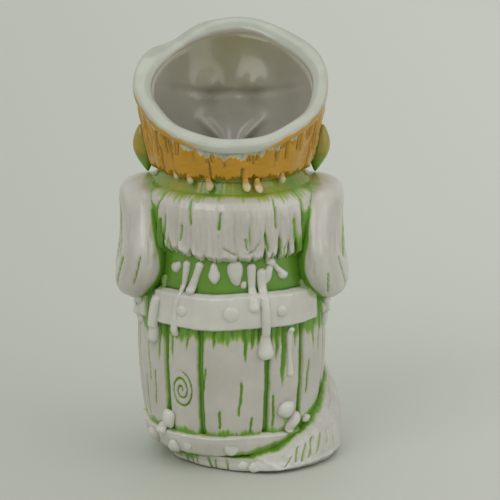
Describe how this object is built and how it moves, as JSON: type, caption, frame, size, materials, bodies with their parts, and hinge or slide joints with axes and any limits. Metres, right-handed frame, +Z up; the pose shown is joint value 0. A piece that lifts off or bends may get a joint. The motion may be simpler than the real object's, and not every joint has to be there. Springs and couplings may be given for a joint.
{
  "type": "tiki mug",
  "caption": "Hollow glazed figure mug with a slanted lip, standing in a hooped barrel with ragged tunic and sleeves.",
  "frame": {"origin": "centre of the foot ring, on the table", "axes": "+Z up, +Y towards the figure's face, +X towards the figure's right hand; the pictured back faces -Y"},
  "size_m": [0.0992, 0.0875, 0.1792],
  "materials": {
    "white_glaze": "thick glossy white glaze over white earthenware",
    "green_glaze": "glossy clear glaze over green stain in the recesses",
    "olive_glaze": "glossy olive-green glaze with amber showing through",
    "amber_glaze": "glossy amber-yellow glaze, darker in the grooves",
    "bisque": "dry unglazed foot, wiped clean before firing"
  },
  "bodies": {
    "root": {"foot_ring": "bisque", "barrel_cup": "green_glaze", "upper_wall": "white_glaze", "rim_lip": "white_glaze", "barrel_staves": "white_glaze", "lower_hoop": "white_glaze", "upper_hoop": "white_glaze", "lower_rivets": "white_glaze", "upper_rivets": "white_glaze", "sand_base": "white_glaze", "sand_drift": "white_glaze", "tunic": "white_glaze", "right_sleeve": "white_glaze", "left_sleeve": "white_glaze", "right_hand": "white_glaze", "left_hand": "white_glaze", "foam_drips": "white_glaze", "foam_beads": "white_glaze", "pebbles": "white_glaze", "hair_back": "amber_glaze", "hair_fringe": "amber_glaze", "hair_locks": "amber_glaze", "face_plate": "olive_glaze", "nose": "olive_glaze", "brows": "amber_glaze", "eyes": "white_glaze", "lips": "olive_glaze", "teeth": "white_glaze", "right_ear": "olive_glaze", "left_ear": "olive_glaze"}
  },
  "joints": []
}
